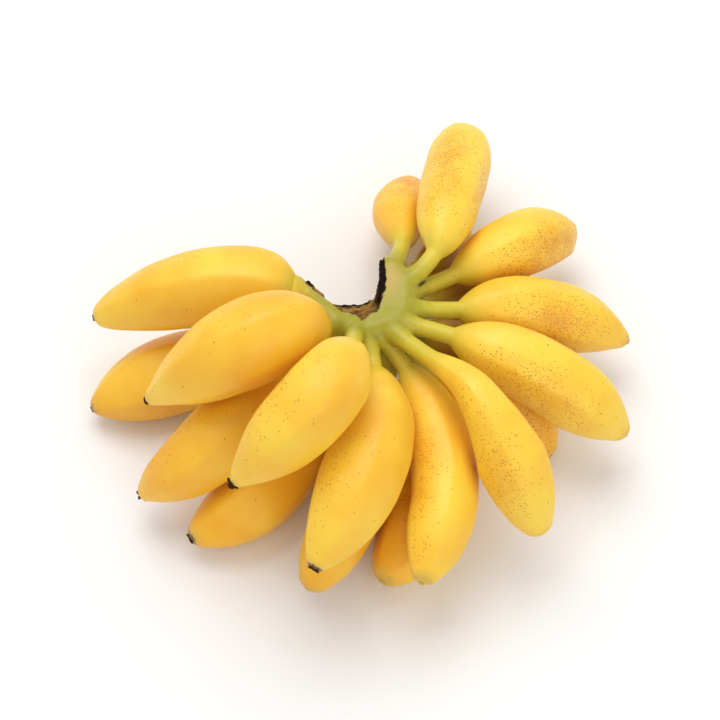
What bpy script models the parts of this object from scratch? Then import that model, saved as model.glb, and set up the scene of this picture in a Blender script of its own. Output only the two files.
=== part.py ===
"""Hand of small plantain bananas, cut from its stalk and laid down on its tips.

Metres, +Z up, standing on z = 0 with the middle of its bounding box over the origin.
The cut of the crown looks along +Y and the fingers fan out round the other sides.
"""
import math

import bmesh
import bpy
import numpy as np

for ob in list(bpy.data.objects):
    bpy.data.objects.remove(ob, do_unlink=True)

MM = 0.001

# Where the middle of the crown lies, in mm.
CROWN_AT = (5.1, -0.2, 58.4)

# The crown, in mm from its middle.
CROWN_MID = (-3.0, 10.0)
CROWN_TOP = 6.0
CROWN_BOTTOM = -21.0
CROWN_ROUNDING = 4.0
CROWN_OUTLINE = [(-25, 19), (-23, 10), (-18, 2), (-11.5, -5), (-3, -9.5), (7, -8.5), (14, -3),
                 (17.5, 5), (18, 15), (15, 23), (9, 28), (-5, 30), (-18, 27)]
CUT_AT = (-11.5, 26.0)
CUT_RADIUS = 16.5
CUT_SLOPE = math.radians(50)

# The pedicels leave the crown from a ring round its middle, in two rows.
ROOT_RING = 18.0
ROOT_HEIGHT = {"near": 1.0, "far": -13.0}
JOINT_RING = 25.0
JOINT_GAP = 0.35
PEDICEL_RADIUS = 3.8

# The withered flower end of each finger.
NUB_RADIUS = 2.4
NUB_LENGTH = 1.5

# The loft: rings along a finger, sides round it, and how far its five ridges stand out.
RINGS = 19
SIDES = 15
RIDGE = 0.03

# Each finger in mm from the crown's middle: where its pedicel ends, the middle of its body
# and its tip, then its greatest width, where along the body that lies (0 to 1) and how
# quickly the shoulder fills out (a higher number is a fuller shoulder), how early the end
# draws in (a higher number is a slimmer end), and the way that its pedicel leaves the crown,
# in degrees from +X.
FINGERS = {
    "near_finger_01": ((-31.5, 11.2, 1.6), (-51.8, 14.4, 2.7), (-122.1, 12, -19.3), 34.6, 0.39, 4.6, 0.67, 178),
    "near_finger_02": ((-18.1, -7.3, 2.2), (-35.7, -23, 29.3), (-94.7, -38.9, -2.5), 37.9, 0.48, 1.6, 0.97, -119),
    "near_finger_03": ((-9.5, -30.6, 24.5), (-18.6, -56, 38.6), (-56.7, -83, 7.2), 33, 0.49, 3.0, 1.02, -104),
    "near_finger_04": ((0.6, -24.1, -1.9), (-3, -72.6, 5.2), (-24, -115.6, -5.7), 35.4, 0.56, 3.6, 0.81, -90),
    "near_finger_05": ((14.2, -18.3, -10.7), (30.1, -65.1, -16.5), (20.2, -114.3, -21.9), 29.1, 0.69, 4.0, 0.83, -75),
    "near_finger_06": ((25.1, -23.5, 5.5), (40.4, -40.5, 12.6), (70.6, -88.9, -28.4), 30.3, 0.61, 0.9, 0.72, -58),
    "near_finger_07": ((34.1, -9.3, 0.4), (73.7, -22.3, -9.7), (110.3, -38.3, -35), 31.7, 0.63, 3.9, 0.94, -43),
    "near_finger_08": ((37.8, 8.1, -6.9), (73.3, 14.2, -18.2), (114.5, 9.5, -36), 31.6, 0.57, 3.6, 0.97, -20),
    "near_finger_09": ((36.5, 30.9, -14.5), (66.7, 49.2, -18.2), (91.7, 69.8, -40.8), 30.3, 0.53, 2.8, 0.72, 4),
    "near_finger_10": ((27.1, 30.6, 3.3), (32, 48.2, 0.7), (44.7, 116.1, -26.8), 30.6, 0.72, 4.0, 0.52, 18),
    "near_finger_11": ((13.6, 44.1, -9.5), (13.2, 70, -26.3), (22.2, 105.9, -56.4), 26.8, 0.55, 2.2, 0.72, 49),
    "far_finger_01": ((-34.2, 2.8, -24.9), (-83.5, -3.6, -39.1), (-124.8, -17.6, -49.6), 36.2, 0.62, 2.7, 0.87, -169),
    "far_finger_02": ((-28.3, -3.9, -15.9), (-62.3, -48.6, -13.1), (-99.6, -62.7, -44.3), 33.5, 0.48, 2.7, 0.78, -148),
    "far_finger_03": ((-20.2, -14.5, -30.5), (-46.3, -60, -42.8), (-78.2, -82.7, -46.5), 34.9, 0.58, 2.7, 0.76, -124),
    "far_finger_04": ((-6.7, -22.1, -23.1), (-9.7, -74.7, -29.1), (-27.3, -107.6, -43.4), 29.4, 0.64, 2.3, 0.68, -95),
    "far_finger_05": ((7.9, -19, -30.6), (20.3, -62.9, -44.9), (4.4, -103.8, -44.6), 29.5, 0.73, 2.1, 0.73, -68),
    "far_finger_06": ((23, -14, -20.6), (59.9, -22.9, -38.4), (78.7, -38.8, -54.4), 29.6, 0.65, 2.3, 0.75, -43),
    "far_finger_07": ((26, 26.8, -32.3), (60, 35.1, -44.5), (90, 39.2, -52.4), 27, 0.60, 2.3, 0.74, 30),
    "far_finger_08": ((22, 43, -27), (36, 63.2, -45.5), (40, 84.6, -53.2), 23, 0.60, 2.3, 0.74, 53),
    "far_finger_09": ((22, 6, -20.5), (57, 6.8, -44.5), (86, 1, -52), 24.5, 0.55, 3.5, 0.74, -10),
}


def linear(hex_code):
    """An sRGB hex code as the linear colour that Blender works in."""
    out = []
    for i in (0, 2, 4):
        c = int(hex_code[i:i + 2], 16) / 255
        out.append(c / 12.92 if c <= 0.04045 else ((c + 0.055) / 1.055) ** 2.4)
    return (*out, 1.0)


def material(name, hex_code, roughness):
    mat = bpy.data.materials.new(name)
    mat.use_nodes = True
    bsdf = mat.node_tree.nodes["Principled BSDF"]
    bsdf.inputs["Base Color"].default_value = linear(hex_code)
    bsdf.inputs["Roughness"].default_value = roughness
    bsdf.inputs["Metallic"].default_value = 0.0
    return mat


def root_of(way, row):
    """Where a pedicel starts: on the root ring, the way that it leaves the crown."""
    a = math.radians(way)
    return np.array([CROWN_MID[0] + ROOT_RING * math.cos(a),
                     CROWN_MID[1] + ROOT_RING * math.sin(a), ROOT_HEIGHT[row]])


def smooth_line(points, count=241):
    """A natural cubic spline through the points, with the length run at each step."""
    p = np.array(points, float)
    knots = np.concatenate([[0], np.cumsum(np.linalg.norm(np.diff(p, axis=0), axis=1) ** 0.75)])
    h = np.diff(knots)
    m = len(p)
    a = np.eye(m)
    rhs = np.zeros((m, 3))
    for i in range(1, m - 1):
        a[i, i - 1:i + 2] = h[i - 1], 2 * (h[i - 1] + h[i]), h[i]
        rhs[i] = 6 * ((p[i + 1] - p[i]) / h[i] - (p[i] - p[i - 1]) / h[i - 1])
    bend = np.linalg.solve(a, rhs)
    t = np.linspace(0, knots[-1], count)
    k = np.clip(np.searchsorted(knots, t, side="right") - 1, 0, m - 2)
    u = ((knots[k + 1] - t) / h[k])[:, None]
    v = 1 - u
    curve = u * p[k] + v * p[k + 1]
    curve += ((u ** 3 - u) * bend[k] + (v ** 3 - v) * bend[k + 1]) * (h[k] ** 2)[:, None] / 6
    run = np.concatenate([[0], np.cumsum(np.linalg.norm(np.diff(curve, axis=0), axis=1))])
    return curve, run, np.interp(knots, t, run)


def radius_at(s, neck, length, width, fullest, plump, taper):
    """Pedicel up to the neck, a shoulder up to the fullest place, then down to the nub."""
    t = np.clip((s - neck) / (length - neck), 0, 1)
    rise = 1 - np.clip(1 - t / fullest, 0, 1) ** plump
    u = np.clip((t - fullest) / (1 - fullest), 0, 1)
    fall = (1 - u ** 2) ** taper
    body = PEDICEL_RADIUS + (width / 2 - PEDICEL_RADIUS) * rise
    end = NUB_RADIUS + (width / 2 - NUB_RADIUS) * fall
    return np.where(t > fullest, end, body)


def loft(name, centres, ways, radii, ridges, turn):
    """A closed skin over five-ridged rings that stand square to a line, both ends capped."""
    side = np.array([0.0, 0.0, 1.0])
    mesh = bmesh.new()
    rings = []
    for c, w, r, ridge in zip(centres, ways, radii, ridges):
        side = side - w * side.dot(w)
        side /= np.linalg.norm(side)
        other = np.cross(w, side)
        ring = []
        for j in range(SIDES):
            a = 2 * math.pi * j / SIDES
            reach = r * (1 + ridge * math.cos(5 * (a - turn)))
            at = c + reach * (math.cos(a) * side + math.sin(a) * other)
            at = (at + CROWN_AT) * MM
            ring.append(mesh.verts.new((at[0], at[1], max(at[2], 0.0))))
        rings.append(ring)
    for low, high in zip(rings, rings[1:]):
        for j in range(SIDES):
            k = (j + 1) % SIDES
            mesh.faces.new((low[j], low[k], high[k], high[j]))
    mesh.faces.new(rings[0][::-1])
    mesh.faces.new(rings[-1])
    data = bpy.data.meshes.new(name)
    mesh.to_mesh(data)
    mesh.free()
    data.shade_smooth()
    data.set_sharp_from_angle(angle=math.radians(50))
    return bpy.data.objects.new(name, data)


def finger(name, neck, belly, tip, width, fullest, plump, taper, way, piece):
    """The stub that stays on the crown, or the finger from its joint to its nub."""
    row = name.split("_")[0]
    number = list(FINGERS).index(name)
    line, run, knots = smooth_line([root_of(way, row), neck, belly, tip])
    length = run[-1]
    away = np.hypot(line[:, 0] - CROWN_MID[0], line[:, 1] - CROWN_MID[1])
    joint = run[np.argmax(away > JOINT_RING)]
    if piece == "stub":
        stations = np.linspace(0, joint - JOINT_GAP / 2, 5)
    else:
        t = np.linspace(0, 1, RINGS)
        t = 0.35 * t + 0.65 * (1 - np.cos(math.pi * t)) / 2
        start = joint + JOINT_GAP / 2
        stations = start + (length - start) * t
    centres = np.stack([np.interp(stations, run, line[:, k]) for k in range(3)], axis=1)
    ways = np.stack([np.interp(stations, run, k) for k in np.gradient(line, axis=0).T], axis=1)
    ways /= np.linalg.norm(ways, axis=1)[:, None]
    radii = radius_at(stations, knots[1], length, width, fullest, plump, taper)
    body = np.clip((stations - knots[1]) / 15, 0, 1)
    ridges = RIDGE * body * np.clip((length - stations) / 6, 0, 1)
    if piece == "finger":
        centres = np.vstack([centres, centres[-1] + ways[-1] * NUB_LENGTH])
        ways = np.vstack([ways, ways[-1]])
        radii = np.append(radii, NUB_RADIUS * 0.8)
        ridges = np.append(ridges, 0)
    return loft(name, centres, ways, radii, ridges, turn=0.4 * number)


def crown_slab():
    """The cushion before it is cut: its outline, thick and rounded, as a mesh."""
    curve = bpy.data.curves.new("crown_outline", "CURVE")
    curve.dimensions = "2D"
    curve.fill_mode = "BOTH"
    curve.resolution_u = 3
    curve.extrude = (CROWN_TOP - CROWN_BOTTOM - 2 * CROWN_ROUNDING) / 2 * MM
    curve.bevel_depth = CROWN_ROUNDING * MM
    curve.bevel_resolution = 2
    curve.offset = -CROWN_ROUNDING * MM
    spline = curve.splines.new("BEZIER")
    spline.bezier_points.add(len(CROWN_OUTLINE) - 1)
    spline.use_cyclic_u = True
    for point, (x, y) in zip(spline.bezier_points, CROWN_OUTLINE):
        point.co = (x * MM, y * MM, 0)
        point.handle_left_type = point.handle_right_type = "AUTO"
    drawn = bpy.data.objects.new("crown_outline", curve)
    cutters.objects.link(drawn)
    drawn.location = (CROWN_AT[0] * MM, CROWN_AT[1] * MM,
                      (CROWN_AT[2] + (CROWN_TOP + CROWN_BOTTOM) / 2) * MM)
    bpy.context.view_layer.update()
    seen = drawn.evaluated_get(bpy.context.evaluated_depsgraph_get())
    data = bpy.data.meshes.new_from_object(seen)
    data.transform(drawn.matrix_world)
    mesh = bmesh.new()
    mesh.from_mesh(data)
    bmesh.ops.remove_doubles(mesh, verts=mesh.verts, dist=0.00001)
    bmesh.ops.recalc_face_normals(mesh, faces=mesh.faces)
    mesh.to_mesh(data)
    mesh.free()
    bpy.data.objects.remove(drawn, do_unlink=True)
    slab = bpy.data.objects.new("crown", data)
    parts.objects.link(slab)
    return slab


def knife(name, at, slope):
    """A round cutter of the stalk's size, leaning over towards -Y by the slope."""
    mesh = bmesh.new()
    bmesh.ops.create_cone(mesh, cap_ends=True, segments=48, radius1=CUT_RADIUS * MM,
                          radius2=CUT_RADIUS * MM, depth=0.1)
    data = bpy.data.meshes.new(name)
    mesh.to_mesh(data)
    mesh.free()
    ob = bpy.data.objects.new(name, data)
    ob.location = [(c + a) * MM for c, a in zip(CROWN_AT, at)]
    ob.rotation_euler = (slope, 0, 0)
    ob.hide_render = True
    ob.display_type = "WIRE"
    cutters.objects.link(ob)
    return ob


def boolean(ob, operation, other):
    mod = ob.modifiers.new(operation.title(), "BOOLEAN")
    mod.operation = operation
    mod.solver = "EXACT"
    if isinstance(other, bpy.types.Collection):
        mod.operand_type = "COLLECTION"
        mod.collection = other
    else:
        mod.object = other


parts = bpy.data.collections.new("Hand of plantain bananas")
cutters = bpy.data.collections.new("Cutters")
stubs = bpy.data.collections.new("Stubs")
for group in (parts, cutters, stubs):
    bpy.context.scene.collection.children.link(group)

peel = material("yellow_peel", "F5C848", 0.45)
green = material("crown_green", "B4A93A", 0.6)

for name, shape in FINGERS.items():
    ob = finger(name, *shape, piece="finger")
    ob.data.materials.append(peel)
    parts.objects.link(ob)
    stubs.objects.link(finger(name, *shape, piece="stub"))

crown = crown_slab()
boolean(crown, "DIFFERENCE", knife("stalk_cut", (*CUT_AT, 0), 0))
sloped_y = CROWN_TOP - 8 + CUT_RADIUS / math.cos(CUT_SLOPE)
boolean(crown, "DIFFERENCE", knife("sloped_cut", (CUT_AT[0], sloped_y, CROWN_TOP - 1), CUT_SLOPE))
boolean(crown, "UNION", stubs)
bpy.context.view_layer.update()
joined = bpy.data.meshes.new_from_object(crown.evaluated_get(bpy.context.evaluated_depsgraph_get()))
crown.modifiers.clear()
crown.data = joined
joined.materials.clear()
joined.materials.append(green)
joined.shade_smooth()
joined.set_sharp_from_angle(angle=math.radians(40))
for ob in list(stubs.objects):
    bpy.data.objects.remove(ob, do_unlink=True)
bpy.data.collections.remove(stubs)
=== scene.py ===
# %% [markdown]
# # A hand of small plantain bananas
# The hand is one growth: a green crown that was cut from the stalk, and two rows of fingers on
# short pedicels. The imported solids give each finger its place. This lesson dresses them: every
# finger is grown again along the same line with Geometry Nodes, the crown is grown round the
# pedicels as one soft skin, and all of it gets peel that is painted by where it sits on the fruit.

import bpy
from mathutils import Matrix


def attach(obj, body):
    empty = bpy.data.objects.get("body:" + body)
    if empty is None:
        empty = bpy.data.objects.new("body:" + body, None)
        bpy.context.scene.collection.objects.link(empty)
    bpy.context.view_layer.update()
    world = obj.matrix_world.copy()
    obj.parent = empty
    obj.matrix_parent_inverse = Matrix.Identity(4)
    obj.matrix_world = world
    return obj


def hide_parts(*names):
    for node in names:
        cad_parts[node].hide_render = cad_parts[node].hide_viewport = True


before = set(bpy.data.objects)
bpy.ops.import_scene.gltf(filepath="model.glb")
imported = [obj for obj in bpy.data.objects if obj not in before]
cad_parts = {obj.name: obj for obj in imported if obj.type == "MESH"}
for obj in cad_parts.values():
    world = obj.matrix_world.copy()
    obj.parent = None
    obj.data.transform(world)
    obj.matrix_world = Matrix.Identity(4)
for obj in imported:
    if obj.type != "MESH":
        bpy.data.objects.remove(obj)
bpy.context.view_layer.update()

import math

import bmesh
import bpy
import numpy as np
from mathutils import Vector
from mathutils.bvhtree import BVHTree

MM = 0.001
scene = bpy.context.scene
scene.view_settings.view_transform = "Standard"
scene.view_settings.look = "None"

# %% [markdown]
# ## The camera
# The photograph looks down on the hand from the front. The crown lies a little above the middle
# of the picture, and all other angles follow from the way the fingers foreshorten: 60 degrees
# of elevation from about 0.9 m. A long lens keeps the far fingers from looking small.

# %% The camera
CROWN_AT = np.array([5.1, -0.2, 58.4])
ELEVATION = math.radians(60)
DISTANCE = 900.0
MM_PER_PIXEL = 0.43
PICTURE = 720
CROWN_PIXEL = (372.0, 318.0)

to_camera = np.array([0, -math.cos(ELEVATION), math.sin(ELEVATION)])
picture_up = np.array([0, math.sin(ELEVATION), math.cos(ELEVATION)])
aside = (PICTURE / 2 - CROWN_PIXEL[0]) * MM_PER_PIXEL
upward = (CROWN_PIXEL[1] - PICTURE / 2) * MM_PER_PIXEL
eye = CROWN_AT + DISTANCE * to_camera + aside * np.array([1, 0, 0]) + upward * picture_up

camera = bpy.data.objects.new("Camera", bpy.data.cameras.new("Camera"))
scene.collection.objects.link(camera)
camera.location = eye * MM
camera.rotation_euler = (math.pi / 2 - ELEVATION, 0, 0)
camera.data.sensor_width = 36
camera.data.lens = 36 * DISTANCE / MM_PER_PIXEL / PICTURE
camera.data.clip_start = 0.05
camera.data.clip_end = 20
scene.camera = camera
print(f"lens {camera.data.lens:.1f} mm at {np.round(eye)} mm")

# %% [markdown]
# ## The line of each finger
# A banana is a bent line with flesh on it. Each line starts on a ring inside the crown, passes
# the end of the pedicel (the neck) and the middle of the body, and ends at the withered tip.
# A natural spline through these four points bends the way the fruit grew. Drawing the curve by
# hand would work too, but a rule keeps it on the solids.

# %% The fingers and their lines
CROWN_MID = np.array([-3.0, 10.0])
ROOT_RING = 18.0
ROOT_HEIGHT = {"near": 1.0, "far": -13.0}
PEDICEL = 7.6
NUB = 4.8

# neck, belly and tip in mm from the crown, width, fullest place, shoulder, taper of the end, the
# way the pedicel leaves the crown in degrees, then for the peel: how freckled it is (0 to 1) and
# how warm its yellow is (-1 lemon to 1 orange)
FINGERS = {
    "near_finger_01": ((-31.5, 11.2, 1.6), (-51.8, 14.4, 2.7), (-122.1, 12, -19.3),
                       34.6, 0.39, 4.6, 0.67, 178, 0.15, 0.2),
    "near_finger_02": ((-18.1, -7.3, 2.2), (-35.7, -23, 29.3), (-94.7, -38.9, -2.5),
                       37.9, 0.48, 1.6, 0.97, -119, 0.2, 0.3),
    "near_finger_03": ((-9.5, -30.6, 24.5), (-18.6, -56, 38.6), (-56.7, -83, 7.2),
                       33, 0.49, 3.0, 1.02, -104, 0.3, 0.0),
    "near_finger_04": ((0.6, -24.1, -1.9), (-3, -72.6, 5.2), (-24, -115.6, -5.7),
                       35.4, 0.56, 3.6, 0.81, -90, 0.2, 0.1),
    "near_finger_05": ((14.2, -18.3, -10.7), (30.1, -65.1, -16.5), (20.2, -114.3, -21.9),
                       29.1, 0.69, 4.0, 0.83, -75, 0.4, -0.1),
    "near_finger_06": ((25.1, -23.5, 5.5), (40.4, -40.5, 12.6), (70.6, -88.9, -28.4),
                       30.3, 0.61, 0.9, 0.72, -58, 0.5, -0.2),
    "near_finger_07": ((34.1, -9.3, 0.4), (73.7, -22.3, -9.7), (110.3, -38.3, -35),
                       31.7, 0.63, 3.9, 0.94, -43, 0.7, -0.3),
    "near_finger_08": ((37.8, 8.1, -6.9), (73.3, 14.2, -18.2), (114.5, 9.5, -36),
                       31.6, 0.57, 3.6, 0.97, -20, 0.9, -0.2),
    "near_finger_09": ((36.5, 30.9, -14.5), (66.7, 49.2, -18.2), (91.7, 69.8, -40.8),
                       30.3, 0.53, 2.8, 0.72, 4, 1.0, -0.2),
    "near_finger_10": ((27.1, 30.6, 3.3), (32, 48.2, 0.7), (44.7, 116.1, -26.8),
                       30.6, 0.72, 4.0, 0.52, 18, 1.0, -0.3),
    "near_finger_11": ((13.6, 44.1, -9.5), (13.2, 70, -26.3), (22.2, 105.9, -56.4),
                       26.8, 0.55, 2.2, 0.72, 49, 1.0, 0.2),
    "far_finger_01": ((-34.2, 2.8, -24.9), (-83.5, -3.6, -39.1), (-124.8, -17.6, -49.6),
                       36.2, 0.62, 2.7, 0.87, -169, 0.15, 0.5),
    "far_finger_02": ((-28.3, -3.9, -15.9), (-62.3, -48.6, -13.1), (-99.6, -62.7, -44.3),
                       33.5, 0.48, 2.7, 0.78, -148, 0.1, 0.6),
    "far_finger_03": ((-20.2, -14.5, -30.5), (-46.3, -60, -42.8), (-78.2, -82.7, -46.5),
                       34.9, 0.58, 2.7, 0.76, -124, 0.15, 0.6),
    "far_finger_04": ((-6.7, -22.1, -23.1), (-9.7, -74.7, -29.1), (-27.3, -107.6, -43.4),
                       29.4, 0.64, 2.3, 0.68, -95, 0.2, 0.5),
    "far_finger_05": ((7.9, -19, -30.6), (20.3, -62.9, -44.9), (4.4, -103.8, -44.6),
                       29.5, 0.73, 2.1, 0.73, -68, 0.4, 0.2),
    "far_finger_06": ((23, -14, -20.6), (59.9, -22.9, -38.4), (78.7, -38.8, -54.4),
                       29.6, 0.65, 2.3, 0.75, -43, 0.8, 0.4),
    "far_finger_07": ((26, 26.8, -32.3), (60, 35.1, -44.5), (90, 39.2, -52.4),
                       27, 0.60, 2.3, 0.74, 30, 0.4, 0.5),
    "far_finger_08": ((22, 43, -27), (36, 63.2, -45.5), (40, 84.6, -53.2),
                       23, 0.60, 2.3, 0.74, 53, 0.4, 0.5),
    "far_finger_09": ((22, 6, -20.5), (57, 6.8, -44.5), (86, 1, -52),
                       24.5, 0.55, 3.5, 0.74, -10, 0.4, 0.5),
}


def root_of(name):
    """Where a pedicel starts: on the ring inside the crown, the way that it leaves."""
    way = math.radians(FINGERS[name][7])
    return (CROWN_MID[0] + ROOT_RING * math.cos(way), CROWN_MID[1] + ROOT_RING * math.sin(way),
            ROOT_HEIGHT[name.split("_")[0]])


def smooth_line(points, count=241):
    """A natural cubic spline through the points, with the length run at each step."""
    p = np.array(points, float)
    knots = np.concatenate([[0], np.cumsum(np.linalg.norm(np.diff(p, axis=0), axis=1) ** 0.75)])
    h = np.diff(knots)
    a, rhs = np.eye(len(p)), np.zeros((len(p), 3))
    for i in range(1, len(p) - 1):
        a[i, i - 1:i + 2] = h[i - 1], 2 * (h[i - 1] + h[i]), h[i]
        rhs[i] = 6 * ((p[i + 1] - p[i]) / h[i] - (p[i] - p[i - 1]) / h[i - 1])
    bend = np.linalg.solve(a, rhs)
    t = np.linspace(0, knots[-1], count)
    k = np.clip(np.searchsorted(knots, t, side="right") - 1, 0, len(p) - 2)
    u = ((knots[k + 1] - t) / h[k])[:, None]
    v = 1 - u
    curve = u * p[k] + v * p[k + 1]
    curve += ((u ** 3 - u) * bend[k] + (v ** 3 - v) * bend[k + 1]) * (h[k] ** 2)[:, None] / 6
    run = np.concatenate([[0], np.cumsum(np.linalg.norm(np.diff(curve, axis=0), axis=1))])
    return curve, run, np.interp(knots, t, run)


LINES = {name: smooth_line([root_of(name), *FINGERS[name][:3]]) for name in FINGERS}
lengths = [run[-1] for _, run, _ in LINES.values()]
print(f"{len(LINES)} fingers, {min(lengths):.0f} to {max(lengths):.0f} mm along their curve")

# %% [markdown]
# ## The helpers
# Colours come from sRGB hex codes, which Blender needs as linear light. Node trees are written
# with one function that adds a node, sets it up and links its inputs, and a few short ones that
# use it for what comes often: a mix of colours, a range, a sum, a noise.

# %% Colour and node helpers


def linear(hex_code):
    """An sRGB hex code as the linear colour that shaders work in."""
    out = []
    for i in (0, 2, 4):
        c = int(hex_code[i:i + 2], 16) / 255
        out.append(c / 12.92 if c <= 0.04045 else ((c + 0.055) / 1.055) ** 2.4)
    return (*out, 1.0)


def add(tree, kind, inputs=None, **settings):
    """Add a node with its settings. An input takes a value, or a socket to link from."""
    made = tree.nodes.new(kind)
    for key, value in settings.items():
        setattr(made, key, value)
    for key, value in (inputs or {}).items():
        if isinstance(value, bpy.types.NodeSocket):
            tree.links.new(value, made.inputs[key])
        else:
            made.inputs[key].default_value = value
    return made


MATH, MAP, MIX = "ShaderNodeMath", "ShaderNodeMapRange", "ShaderNodeMix"
NOISE, VECTOR = "ShaderNodeTexNoise", "ShaderNodeVectorMath"


def blend(tree, factor, first, second):
    """The mix of two colours, each given as a hex code or a socket."""
    first, second = (linear(c) if isinstance(c, str) else c for c in (first, second))
    return add(tree, MIX, {"Factor": factor, 6: first, 7: second}, data_type="RGBA").outputs[2]


def ramp(tree, value, start, end, low=0.0, high=1.0, smooth=False):
    """Map a value from start..end to low..high and hold it there."""
    kind = "SMOOTHSTEP" if smooth else "LINEAR"
    return add(tree, MAP, {"Value": value, 1: start, 2: end, 3: low, 4: high},
               interpolation_type=kind).outputs[0]


def reckon(tree, operation, *values):
    """One step of arithmetic on numbers or sockets."""
    return add(tree, MATH, dict(enumerate(values)), operation=operation).outputs[0]


def vector(tree, operation, first, second=None, scale=None):
    """One step of arithmetic on vectors, or on a vector and a number."""
    given = {0: first, 1: second, "Scale": scale}
    given = {key: value for key, value in given.items() if value is not None}
    return add(tree, VECTOR, given, operation=operation).outputs[0]


def noise(tree, place, width, detail=2.0):
    """Smooth noise with patches about as wide as given in mm."""
    return add(tree, NOISE, {"Vector": place, "Scale": 1 / (width * MM),
                             "Detail": detail}).outputs[0]


print("linear of mid grey:", [round(c, 3) for c in linear("808080")])

# %% [markdown]
# ## The finger, as a rule
# A real finger is a pedicel that swells to a shoulder, stays full along the belly and draws in
# to the tip, with five blunt ridges along it. It could be sculpted, but the rule is short: a
# curve is given a width at each point, a round profile runs along it, and the rings are pressed
# towards a pentagon. The tree stores where each point is on the fruit, for the peel.

# %% The finger's node tree
def start_tree(name, numbers):
    """A node tree with a line, named numbers and a finish as inputs, and a piece as output."""
    tree = bpy.data.node_groups.new(name, "GeometryNodeTree")
    sockets = tree.interface.new_socket
    sockets("Line", in_out="INPUT", socket_type="NodeSocketGeometry")
    for label, start in numbers.items():
        kind = "NodeSocketInt" if isinstance(start, int) else "NodeSocketFloat"
        sockets(label, in_out="INPUT", socket_type=kind).default_value = start
    sockets("Finish", in_out="INPUT", socket_type="NodeSocketMaterial")
    sockets("Piece", in_out="OUTPUT", socket_type="NodeSocketGeometry")
    return tree, add(tree, "NodeGroupInput").outputs


def finish_tree(tree, made, finish):
    """Shade smooth, realize, give the material and put the piece out."""
    made = add(tree, "GeometryNodeSetShadeSmooth", {"Geometry": made.outputs[0],
                                                    "Shade Smooth": True})
    made = add(tree, "GeometryNodeRealizeInstances", {"Geometry": made.outputs[0]})
    made = add(tree, "GeometryNodeSetMaterial", {"Geometry": made.outputs[0], "Material": finish})
    add(tree, "NodeGroupOutput", {"Piece": made.outputs[0]})


tree, given = start_tree("Banana finger", {
    "Width": 0.030, "Fullest": 0.6, "Shoulder": 2.4, "Taper": 0.74, "Neck": 0.02, "Start": 0.006,
    "Pedicel Width": PEDICEL * MM, "Nub Width": NUB * MM, "Ridge": 0.03, "Turn": 0.0,
    "Freckled": 0.3, "Warmth": 0.0, "Withered": 0.5, "Rings": 150, "Sides": 60})

line = add(tree, "GeometryNodeResampleCurve", {"Curve": given["Line"], "Count": given["Rings"]})
line = add(tree, "GeometryNodeSetCurveTilt", {"Curve": line.outputs[0], "Tilt": given["Turn"]})
run = add(tree, "GeometryNodeSplineParameter").outputs["Length"]
run = reckon(tree, "ADD", run, given["Start"])
whole = add(tree, "GeometryNodeSplineLength").outputs["Length"]
whole = reckon(tree, "ADD", whole, given["Start"])
past = reckon(tree, "SUBTRACT", run, given["Neck"])
left = reckon(tree, "SUBTRACT", whole, run)
body = reckon(tree, "SUBTRACT", whole, given["Neck"])
t = add(tree, MATH, {0: past, 1: body}, operation="DIVIDE", use_clamp=True).outputs[0]

# the shoulder: 1 - (1 - t / fullest) ^ shoulder
swell = add(tree, MATH, {0: t, 1: given["Fullest"]}, operation="DIVIDE", use_clamp=True).outputs[0]
swell = reckon(tree, "SUBTRACT", 1.0, swell)
swell = reckon(tree, "POWER", swell, given["Shoulder"])
swell = reckon(tree, "SUBTRACT", 1.0, swell)
full = ramp(tree, swell, 0.0, 1.0, given["Pedicel Width"], given["Width"])

# the end: (1 - u ^ 2) ^ taper, where u runs from the fullest place to the tip
u = ramp(tree, t, given["Fullest"], 1.0)
u = reckon(tree, "POWER", u, 2.0)
u = reckon(tree, "SUBTRACT", 1.0, u)
u = reckon(tree, "POWER", u, given["Taper"])
end = ramp(tree, u, 0.0, 1.0, given["Nub Width"], given["Width"])

late = reckon(tree, "GREATER_THAN", t, given["Fullest"])
wide = add(tree, MIX, {"Factor": late, 2: full, 3: end}).outputs[0]
radius = reckon(tree, "MULTIPLY", wide, 0.5)

# the last two millimetres round off: sqrt(1 - (1 - left / 2 mm) ^ 2 * 3 / 4)
close = ramp(tree, left, 0.0, 0.002, 1.0, 0.0)
close = reckon(tree, "POWER", close, 2.0)
close = reckon(tree, "MULTIPLY_ADD", close, -0.75, 1.0)
close = reckon(tree, "SQRT", close)
radius = reckon(tree, "MULTIPLY", radius, close)

kept = tree.nodes.new("GeometryNodeCaptureAttribute")
for label, kind, socket in (("Centre", "VECTOR", add(tree, "GeometryNodeInputPosition").outputs[0]),
                            ("Way", "VECTOR", add(tree, "GeometryNodeInputTangent").outputs[0]),
                            ("Past neck", "FLOAT", past), ("Left", "FLOAT", left)):
    kept.capture_items.new(kind, label)
    tree.links.new(socket, kept.inputs[label])
tree.links.new(line.outputs[0], kept.inputs[0])

circle = add(tree, "GeometryNodeCurvePrimitiveCircle",
             {"Resolution": given["Sides"], "Radius": 1.0})
ring = tree.nodes.new("GeometryNodeCaptureAttribute")
ring.capture_items.new("FLOAT", "Around")
tree.links.new(circle.outputs[0], ring.inputs[0])
tree.links.new(add(tree, "GeometryNodeSplineParameter").outputs["Factor"], ring.inputs["Around"])
skin = add(tree, "GeometryNodeCurveToMesh",
           {"Curve": kept.outputs[0], "Profile Curve": ring.outputs[0], "Scale": radius,
            "Fill Caps": True})

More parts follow.
